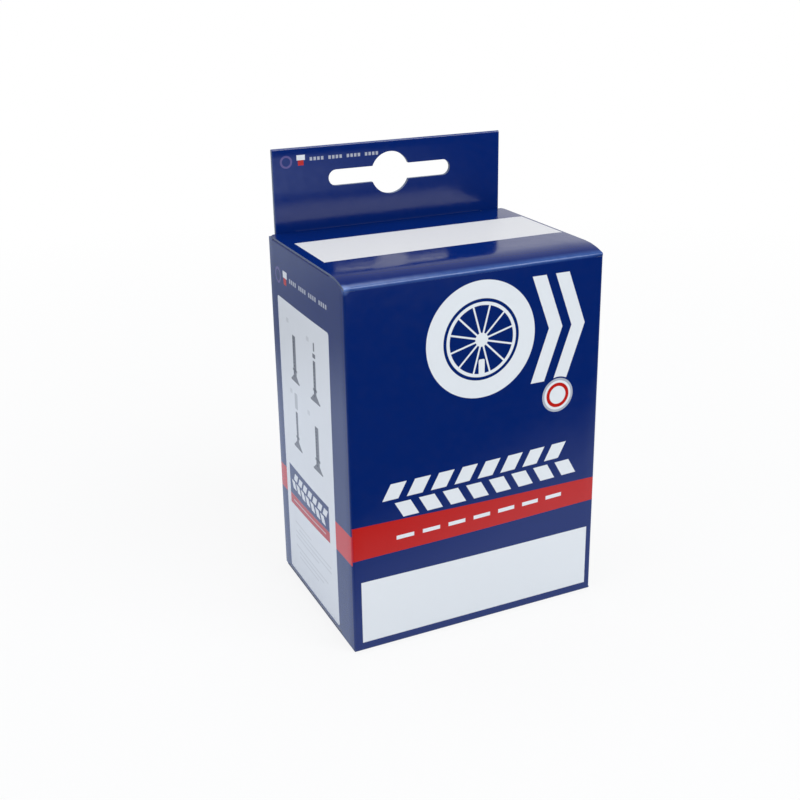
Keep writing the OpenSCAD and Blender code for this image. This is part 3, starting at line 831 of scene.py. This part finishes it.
def lid_board():
    """The lid, from the top of the front panel to its rear crease."""
    crease_r, nick, margin, sag = 0.8, 0.7, 0.6, 0.11
    trim = crease_r * tan(radians((90 - bow_slope) / 2))
    slope = bow_slope - degrees(trim / bow_r)
    runs = [(lid_stand - trim, 0), arc(crease_r, slope - 90), arc(bow_r, -slope)]
    draft = Path((0, 0), 90, runs, -1)
    lid = Path((bow_y - draft.end[0], box_h - draft.end[1]), 90, [*runs, (seam_lid - bow_y, 0)], -1)
    end = lid.length + tuck_y - slit_gap - seam_lid
    loop = mirrored([(lid_half, 0), (lid_half, end - nick), (lid_half - nick, end), (attached, end),
                     (attached, lid.length)])

    def on_lid(u, p):
        """Its front corners start round the walls' folds, and its side margins droop a little."""
        past = np.clip(np.abs(u) - (half_w - fold_r), 0, fold_r)
        pull = fold_r - np.sqrt(fold_r ** 2 - past ** 2)
        fade = np.clip(1 - (p[:, 1] - seam_front) / 1.0, 0, 1)
        droop = sag * np.clip((np.abs(u) - lid_half + margin) / margin, 0, 1) ** 2
        return stack(u, p[:, 0] + pull * fade, p[:, 1] - droop * (1 - fade))

    piece = board("lid_board", [loop], lid, on_lid, [lid_ink, front_ink, raw, cut],
                  paint=lambda u, s: (s < lid.runs[1][0] + lid.runs[1][1] / 2).astype(int))
    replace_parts(piece, "lid_panel")
    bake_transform(piece)


def tuck_flaps():
    """The lid's tuck flap is drawn, and the bottom's is the same one turned over."""
    lean, tuck_r, round_r = 12, 0.7, 6.0
    trim = tuck_r * tan(radians((90 + lean) / 2))
    tuck_len = (flap_hi[2] - flap_lo[2]) / cos(radians(lean))
    tuck = Path((seam_lid, box_h), 0, [(tuck_y - trim - seam_lid, 0), arc(tuck_r, -90 - lean),
                                       (tuck_len - trim, 0)], -1)
    shoulder, wide = tuck.runs[2][0], flap_hi[0]
    tip = [(wide - round_r + round_r * sin(a), tuck.length - round_r + round_r * cos(a))
           for a in np.linspace(pi / 2, 0, 9)]
    loop = mirrored([(attached, 0), (attached, shoulder), (wide, shoulder), *tip])
    turned = lambda u, p: stack(u, p[:, 0], box_h - p[:, 1])
    for name, node, place, panel, body, z in (
            ("lid_tuck", "lid_tuck_flap", from_side, "lid", "lid_tuck", box_h),
            ("bottom_tuck", "bottom_tuck_flap", turned, "bottom", "bottom_tuck", 0)):
        piece = board(name, [loop], tuck, place, [flap_ink, raw, cut])
        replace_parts(piece, node)
        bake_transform(piece)


def bottom_board():
    """The bottom, which opens past half a turn."""
    base_r, fold = 0.6, 0.004
    base = Path((-half_d, seam_base), -90, [(seam_base - base_r, 0), arc(base_r, 90),
                                            (seam_lid + half_d - base_r, 0)])
    end = base.length + tuck_y - slit_gap - seam_lid
    loop = mirrored([(lid_half, 0), (lid_half, end), (attached, end), (attached, base.length)])
    piece = board("bottom_board", [loop], base, from_side, [flap_ink, raw, cut])
    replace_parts(piece, "bottom_panel")
    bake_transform(piece)
    # the faces that stretch over the fold show the print
    beyond = [v.co.y + half_d * MM - v.co.z > 2 * fold * MM for v in piece.data.vertices]
    for face in piece.data.polygons:
        if len({beyond[v] for v in face.vertices}) == 2:
            face.material_index = 0


def dust_flaps():
    """One dust flap is drawn, and the other three are mirrored from it."""
    dust_r, taper = 0.6, 7
    dust_len = dust_hi[0] - dust_lo[0]
    dust = Path((-half_w, seam_side), 90, [(side_top - dust_r - seam_side, 0), arc(dust_r, -90),
                                           (dust_len - dust_r + 0.04, 0)], -1)
    flat_s = lambda d: dust.runs[2][0] + d - dust_r
    loop = [(dust_front, 0), (dust_front, flat_s(0.8)), (dust_front + 0.5, flat_s(4)),
            (dust_front + taper, dust.length), (dust_back - 3, dust.length), (dust_back, flat_s(21)),
            (dust_back, 0)]
    both_z = side_top + side_bottom
    for side, name in ((1, "left"), (-1, "right")):
        for low, prefix in ((False, ""), (True, "bottom_")):
            place = lambda u, p, k=side, low=low: np.stack(
                [k * p[:, 0], u, both_z - p[:, 1] if low else p[:, 1]], 1)
            piece = board(f"{prefix}{name}_dust", [loop], dust, place, [dust_ink, raw, cut])
            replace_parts(piece, f"{prefix}{name}_dust_flap")
            z0, z1 = [side_bottom + d if low else side_top - d for d in (0.6, 0.05)]
            z0 * MM
            z1 * MM
            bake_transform(piece)


def hang_tab():
    """The back panel's ply, folded over at the top and glued down in front."""
    ply, front_foot = board_t - 0.01, box_h - 0.5
    rise = tab_top - board_t - seam_tab
    tab = Path((half_d, seam_tab), 90, [(rise, 0), arc(board_t, 180),
                                        (tab_top - board_t - front_foot, 0)])
    slot_half, slot_r, arm_r, slot_drop = 17.25, 5.5, 2.075, 8.4
    arm_x, slot_z = slot_half - arm_r, tab_top - slot_drop
    meet = asin(arm_r / slot_r)

    def slot(s0):
        """Outline of the euro slot, whose centre line lies s0 along the path."""
        def bend(cx, r, a, b, n):
            return [(cx + r * cos(t), s0 + r * sin(t)) for t in np.linspace(a, b, n)]
        return [*bend(arm_x, arm_r, -pi / 2, pi / 2, 13),
                *bend(0, slot_r, meet, pi - meet, 21),
                *bend(-arm_x, arm_r, pi / 2, 1.5 * pi, 13),
                *bend(0, slot_r, pi + meet, 2 * pi - meet, 21)]

    outline = mirrored([(tab_half, 0), (tab_half, tab.length)])
    holes = [slot(slot_z - seam_tab), slot(tab.runs[2][0] + tab_top - board_t - slot_z)]
    groove_depth, groove_half = 0.07, 0.28
    groove = lambda u, s: -groove_depth * np.exp(-((s - (tab_crease - seam_tab)) / groove_half) ** 2)
    piece = board("hang_tab_board", [outline, *holes], tab, from_side, [tab_ink, raw, cut], swell=groove,
                  thick=ply, step=2.0)
    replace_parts(piece, "tab_rear_ply", "tab_front_ply")
    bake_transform(piece)


def carton():
    carton_walls()
    lid_board()
    tuck_flaps()
    bottom_board()
    dust_flaps()
    hang_tab()
    dress("glue_flap", raw_board("raw_flap", cad=True))


# ---------------- folded tube and its band
def smooth(t):
    t = np.clip(t, 0, 1)
    return t * t * (3 - 2 * t)


def inner_tube():
    """The ring of tube, pressed flat and folded from both sides towards the valve."""
    thick, channel, folds = 1.9, 18.0, 10
    pitch = (tube_hi[0] - channel / 2 - thick) / (folds - 1)
    turn, square = pitch / 2, 1.0 + thick / 2
    strand = tube_lo[2] + thick / 2
    shelf = strand + pitch
    first = channel / 2 + thick / 2
    last = first + (folds - 1) * pitch
    high, low = tube_hi[2] - turn - thick / 2, shelf + turn

    def climb(z):
        """Runs up and down through the layers of one side, whose folds don't lie quite level."""
        runs = []
        for i in range(folds - 1):
            goal = high + rng.uniform(-1.3, 0.2) if i % 2 == 0 else low + rng.uniform(0, 0.9)
            runs += [(abs(goal - z), 0), arc(turn, -180 if i % 2 == 0 else 180)]
            z = goal
        return runs, z

    out, z = climb(shelf + square)
    back, z_end = climb(strand + square)
    path = Path((0, shelf), 0, [
        (first - square, 0), arc(square, 90), *out, (z - strand - square, 0), arc(square, -90),
        (2 * (last - square), 0), arc(square, -90), *back, (z_end - shelf - square, 0), arc(square, 90),
        (first - square, 0)])
    s = np.array(path.rows(5.0)[:-1])
    points, normals = path.at(s)

    # how far each row is from the nearest fold, which the ripples and the splice stay clear of
    calm, fold = np.zeros(len(s)), np.zeros(len(s))
    for s0, length, _, _, bent in path.runs:
        here = (s >= s0) & (s < s0 + length)
        if bent:
            fold[here] = np.sin(np.pi * (s[here] - s0) / length) if abs(bent) > 2 else 0
        else:
            calm[here] = smooth(np.minimum(s[here] - s0, s0 + length - s[here]) / 6)
    splice_run, splice_at, splice_half, splice_h = 9, 30, 7, 0.10
    splice = smooth(1 - np.abs(s - path.runs[splice_run][0] - splice_at) / splice_half) * splice_h
    bead_reach, bead_h, edge = 2.6, 0.11, thick / 2 * 1.04
    waves = [(rng.uniform(0.05, 0.35), rng.uniform(-0.12, 0.12), rng.uniform(0, 6.28)) for _ in range(7)]
    sections, rest = [], []
    for i in range(len(s)):
        half = (tube_hi[1] - tube_lo[1]) / 2 - 0.5 * fold[i]
        u = np.linspace(-half + edge, half - edge, 13)
        bead = bead_h * np.exp(-((half - np.abs(u)) / bead_reach) ** 2)
        t = thick / 2 * (0.93 + bead) + splice[i]
        ripple = sum(np.sin(a * u + b * s[i] + c) for a, b, c in waves) * 0.022 * calm[i]
        a = np.linspace(0, pi, 6)[1:-1]
        right = stack(half - edge + edge * np.sin(a), t[-1] * np.cos(a) + ripple[-1])
        left = stack(-half + edge - edge * np.sin(a), -t[0] * np.cos(a) + ripple[0])
        loop = np.concatenate([stack(u, t + ripple), right, stack(u, ripple - t)[::-1], left])
        loop[:, 0] += valve_y
        sections.append(loop)
        rest.append(stack(loop[:, 0], loop[:, 1], np.full(len(loop), s[i])))
    tube = sweep("inner_tube_soft", points, normals, sections, [rubber("butyl_rubber", talc=0.075)],
                 lambda u, p: stack(p[:, 0], u, p[:, 1]), np.concatenate(rest), sharp=80)
    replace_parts(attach(tube, "tube"), "inner_tube")


def elastic_band():
    """The band round the bundle's waist, drifting a little up and down as it goes round."""
    thick, corner = 0.8, 1.5
    half = (band_hi - band_lo) / 2
    wide, deep = half[0] - thick / 2, half[1] - thick / 2
    path = Path((0, valve_y - deep), 0, [
        (wide - corner, 0), arc(corner, 90), (2 * (deep - corner), 0), arc(corner, 90),
        (2 * (wide - corner), 0), arc(corner, 90), (2 * (deep - corner), 0), arc(corner, 90),
        (wide - corner, 0)])
    s = np.array(path.rows(1.2)[:-1])
    points, normals = path.at(s)
    tall, r = half[2], 0.3
    a = np.linspace(0, pi / 2, 4)
    corners = [(kx, kz, a if kx * kz > 0 else a[::-1])
               for kx, kz in ((1, 1), (-1, 1), (-1, -1), (1, -1))]
    section = np.concatenate([
        stack(kx * (tall - r + r * np.cos(turn)), kz * (thick / 2 - r + r * np.sin(turn)))
        for kx, kz, turn in corners])
    middle = (band_lo[2] + band_hi[2]) / 2
    drift = 0.175 * np.sin(s * 2 * pi / path.length + 1) + 0.06 * np.sin(s * 0.21)
    sections = [section + [middle + d, 0] for d in drift]
    rest = np.concatenate([stack(q[:, 0], q[:, 1], np.full(len(q), d)) for q, d in zip(sections, s)])
    band = sweep("elastic_band_soft", points, normals, sections,
                 [soft_rubber("tan_rubber", (0.46, 0.26, 0.10), 0.55)], from_above, rest)
    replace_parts(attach(band, "tube"), "elastic_band")


# ---------------- valve
thread_pitch = 25.4 / 32              # 32 turns to the inch
stem_r = 3.875
bore_r = stem_r + 0.08                # of the nut and the cap
foot, base_top = levels("valve_base")
nickel = metal("nickel_plate", (0.66, 0.64, 0.60), 0.16, 0.30)


def valve_base():
    """Rubber base: a feathered patch, a fillet and a cone with three moulded rings."""
    cone_z, cone_r, cone_top_r, steps = foot + 1.8, 6.75, 4.72, 32
    cone = []
    for i in range(steps + 1):
        t = i / steps
        z = cone_z + 0.5 + (base_top - 0.5 - cone_z - 0.5) * t
        rings = sum(exp(-((t - at) / 0.03) ** 2) for at in (0.25, 0.5, 0.75))
        cone.append((cone_r + (cone_top_r - cone_r) * t + 0.10 * rings - 0.05, z))
    rows = [(stem_r, foot + 0.02), (7.7, foot + 0.02), (8.0, foot + 0.2), (7.97, foot + 0.55),
            (7.8, foot + 1.0), (7.5, foot + 1.4), (7.2, cone_z - 0.12), (6.98, cone_z + 0.1), *cone,
            (4.6, base_top - 0.25), (4.4, base_top - 0.06), (4.15, base_top), (stem_r, base_top)]
    base = lathe("valve_base_rubber", plain(rows), rubber("base_rubber", talc=0.05), 72, sharp=60)
    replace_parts(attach(base, "tube"), "valve_base")


def valve_stem():
    """Stem: a foot, a rolled thread up to the tip, and the core's chamber."""
    tip, chamfer, air_r, core_r, core_len = levels("valve_stem")[1], 0.5, 1.3, 2.45, 20
    shank_r = stem_r - 0.3
    below = [(air_r, foot), (5.5, foot), (5.5, foot + 1), (shank_r, foot + 1), (shank_r, base_top - 1),
             (stem_r, base_top - 0.6)]
    above = [(stem_r - chamfer, tip), (2.7, tip), (core_r, tip - 0.3), (core_r, tip - core_len),
             (air_r, tip - core_len)]
    rows = [*plain(below), *thread_rows(stem_r, base_top + 0.5, tip - chamfer, 0.42), *plain(above)]
    stem = lathe("valve_stem_threaded", rows, nickel, 56, threaded, sharp=40)
    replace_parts(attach(stem, "tube"), "valve_stem")


def rim_nut():
    """Rim nut: a hexagon inside two chamfer cones."""
    half_af, cone_h, cone_run = 6.0, 0.6, 1.2
    low, high = levels("rim_nut")

    def hexagon(r, angle, z, cut):
        if r < half_af - 1:
            return threaded(r, angle, z, cut)
        flat = half_af / np.cos(np.mod(angle, pi / 3) - pi / 6)
        return np.minimum(flat, r)

    up = [(half_af + cone_run * i / 6, low + cone_h * i / 6) for i in range(7)]
    down = [(r, low + high - z) for r, z in reversed(up)]
    inner = thread_rows(bore_r, high - 0.35, low + 0.35, 0.35, inner=True)
    rows = plain([(bore_r + 0.35, low)] + up + down + [(bore_r + 0.35, high)]) + inner
    nut = lathe("rim_nut_threaded", rows, nickel, 96, hexagon, sharp=30)
    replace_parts(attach(nut, "nut"), "rim_nut")


def valve_cap():
    """Cap: round grip ribs, a bevelled top with a shallow dish, and a threaded bore."""
    ribs, rib_h, cap_r, bevel = 18, 0.35, 5.0, 1.0
    low, roof = levels("valve_cap")
    bore_top = low + 10.0

    def ribbed(r, angle, z, cut):
        if r < bore_r + 0.4:
            return threaded(r, angle, z, cut)
        return r + cut * (0.5 + 0.5 * np.cos(ribs * angle)) ** 1.6

    valley = cap_r - rib_h
    rib_end = roof - bevel - 0.6
    grip = [(valley, low + 0.25, 0), (valley, low + 0.45, rib_h)]
    grip += [(valley, low + 0.45 + (rib_end - 0.5 - low - 0.45) * i / 6, rib_h) for i in range(1, 7)]
    grip += [(valley, rib_end - 0.15, rib_h * 0.7), (valley, rib_end, 0)]
    dish = [(0, roof - 0.25), (2.2, roof - 0.25), (2.5, roof - 0.02), (3.3, roof), (3.55, roof - 0.06)]
    rows = [*plain(dish), (valley - 0.12, roof - bevel + 0.08, 0), (valley, roof - bevel - 0.1, 0),
            *reversed(grip), (valley - 0.2, low, 0), (bore_r + 0.35, low, 0),
            *thread_rows(bore_r, low + 0.35, bore_top - 1.5, 0.3, inner=True),
            (bore_r, bore_top, 0), (0, bore_top, 0)]
    cap = lathe("valve_cap_ribbed", rows, moulded("black_plastic", (0.012, 0.012, 0.013)), 144, ribbed,
                closed=False, sharp=45)
    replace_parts(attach(cap, "cap"), "valve_cap")


def core_spring():
    """Spring round the core pin: a helix whose end turns lie close."""
    low, high = levels("core_spring")
    wire, coil, turns, sides, rows_a_turn = 0.18, 0.95, 6, 10, 28
    travel, play, closing = 1.5, 0.02, 0.055
    t = np.linspace(0, 1, turns * rows_a_turn + 1)
    z = low + wire + (high - low - 2 * wire) * (t - closing * np.sin(2 * pi * t))
    round_wire = np.arange(sides) * 2 * pi / sides
    r = coil + wire * np.cos(round_wire)
    points = [stack(axis[0] + r * cos(turn), axis[1] + r * sin(turn), height + wire * np.sin(round_wire))
              for turn, height in zip(2 * pi * turns * t, z)]
    faces = [(i + k, i + (k + 1) % sides, i + sides + (k + 1) % sides, i + sides + k)
             for i in range(0, (len(t) - 1) * sides, sides) for k in range(sides)]
    faces += [tuple(range(sides)), tuple((len(t) - 1) * sides + k for k in range(sides))]
    spring = mesh_object("core_spring_wire", np.concatenate(points), faces,
                         [metal("spring_wire", (0.55, 0.54, 0.52), 0.2, 0.35)])
    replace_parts(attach(spring, "tube"), "core_spring")
    seat = low - play
    seat * MM
    1 - travel / (high + play - seat)
    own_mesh(spring)


def valve():
    valve_base()
    valve_stem()
    rim_nut()
    valve_cap()
    core_spring()
    brass = metal("yellow_brass", (0.72, 0.50, 0.20), 0.18, 0.32, cad=True)
    for node in ("core_plug", "core_barrel", "core_pin"):
        dress(node, brass, 0.05)
    dress("core_seal", soft_rubber("red_seal", (0.42, 0.03, 0.02), 0.5, cad=True), 0.05)
    dress("core_pin_seal", soft_rubber("black_seal", (0.02, 0.02, 0.02), 0.5, cad=True), 0.05)
    dress("cap_gasket", soft_rubber("grey_seal", (0.06, 0.06, 0.065), 0.55, cad=True), 0.08)


# ---------------- stage, light and camera
def ray_kinds(tree):
    """1 or 0 for a ray from the camera, and for one that gloss or glass sends."""
    rays = add_node(tree, "LightPath").outputs
    camera_ray, gloss, glass = [Value(tree, rays[f"Is {kind} Ray"])
                                for kind in ("Camera", "Glossy", "Transmission")]
    return camera_ray, gloss.most(glass)


def mixed(factor, off, on):
    """off where factor is 0, and on where it is 1."""
    return factor * on + (factor * -1 + 1) * off


def parts_of(tree, output):
    """The three values of a texture coordinate."""
    parts = add_node(tree, "SeparateXYZ", {0: add_node(tree, "TexCoord").outputs[output]})
    return [Value(tree, v) for v in parts.outputs]


def surroundings():
    """White for the camera, a pale backdrop and a dim front for gloss, soft light for the rest."""
    scene.view_settings.view_transform = "Standard"
    scene.world = bpy.data.worlds.new("studio")
    scene.world.use_nodes = True
    tree = scene.world.node_tree
    camera_ray, glossy_ray = ray_kinds(tree)
    side, back, up = parts_of(tree, "Generated")
    lower = up.ramp(0.3, 0.7) * -0.7 + 1
    right = side.ramp(0.30, 0.50) * 0.42 + 0.38
    backdrop, soft_light = back.ramp(-0.3, 0.6) * lower * right + 0.02, 0.46
    light = mixed(camera_ray, mixed(glossy_ray, soft_light, backdrop), 1.0)
    fill_in(tree, tree.nodes["Background"], {"Color": (1, 1, 1, 1), "Strength": light})


def floor():
    """White for the camera but for a faint shadow.

    Gloss sees painted light: glows on the floor that only reflections pick up, a cool white sheet
    behind and beside the carton with its front edge, and a bright patch further out.
    """
    material = bpy.data.materials.new("floor")
    material.use_nodes = True
    tree = material.node_tree
    shader = tree.nodes["Principled BSDF"]
    fill_in(tree, shader, {"Base Color": (0.74, 0.76, 0.78, 1), "Roughness": 0.9,
                           "Specular IOR Level": 0.1})
    camera_ray, glossy_ray = ray_kinds(tree)
    x, y, _ = parts_of(tree, "Object")
    away = disc(x, y, 0, 0, 0)
    # painted light: glows on the floor that only reflections see, a cool white sheet behind and beside
    # the carton and a bright patch further out in front
    sheet = (x * 0.35 + y * 0.94).ramp(-0.090, -0.045) * (
        away.ramp(0.23, 0.15) * 0.48 + away.ramp(0.30, 0.40) * 0.23 + 0.42)
    far_glow = disc(x, y, 0.05, -0.56, 0).ramp(0.26, 0.11)
    plain_white = away.ramp(0.12, 0.45) * 0.14 + 0.86
    tints = {0: camera_ray, 6: (0.80, 0.91, 1.08, 1), 7: (1, 1, 1, 1)}
    tone = add_node(tree, "Mix", tints, data_type="RGBA")
    strength = mixed(camera_ray, sheet.most(far_glow), 1.0)
    glow = add_node(tree, "Emission", {"Color": tone.outputs[2], "Strength": strength})
    share = mixed(camera_ray, glossy_ray, plain_white)
    mix = add_node(tree, "MixShader", {0: share, 1: shader.outputs[0], 2: glow.outputs[0]})
    fill_in(tree, tree.nodes["Material Output"], {0: mix.outputs[0]})

    reach, z = 3000, -0.05
    corners = [(-reach, -reach, z), (reach, -reach, z), (reach, reach, z), (-reach, reach, z)]
    mesh_object("floor", corners, [(0, 1, 2, 3)], [material])


def lamps():
    centre = Vector((0, 0, 0.055))
    for name, at, wide, tall, power, colour in (
            ("key", (0.35, -0.75, 0.95), 0.9, 0.7, 8.5, (1, 1, 1)),
            ("left", (-0.95, -0.1, 0.55), 0.7, 0.9, 2.0, (1.0, 0.94, 1.04)),
            ("overhead", (0.0, 0.25, 1.25), 1.1, 0.9, 5.5, (1, 1, 1))):
        lamp = bpy.data.lights.new(name, "AREA")
        lamp.shape = "RECTANGLE"
        lamp.size, lamp.size_y = wide, tall
        lamp.energy, lamp.color = power, colour
        o = add_object(name, lamp)
        o.location = at
        o.rotation_euler = (centre - Vector(at)).to_track_quat("-Z", "Y").to_euler()


def camera():
    """The viewpoint: left of the front panel and above it, looking slightly down."""
    at = Vector((-123.9, -252.7, 163.4)) * MM
    yaw, pitch, roll = radians(25.98), radians(19.82), radians(-0.43)
    forward = Vector((sin(yaw) * cos(pitch), cos(yaw) * cos(pitch), -sin(pitch)))
    right = Vector((cos(yaw), -sin(yaw), 0))
    up = right.cross(forward)
    right, up = (right * cos(roll) + up * sin(roll), up * cos(roll) - right * sin(roll))
    data = bpy.data.cameras.new("camera")
    data.sensor_width = 36
    data.lens = 52.78
    data.shift_x, data.shift_y = -0.0375, -0.049
    data.clip_start, data.clip_end = 0.01, 20
    scene.camera = add_object("camera", data)
    turned = Matrix((right, up, -forward)).transposed().to_4x4()
    scene.camera.matrix_world = Matrix.Translation(at) @ turned


camera()
surroundings()
floor()
lamps()
carton()
inner_tube()
elastic_band()
valve()
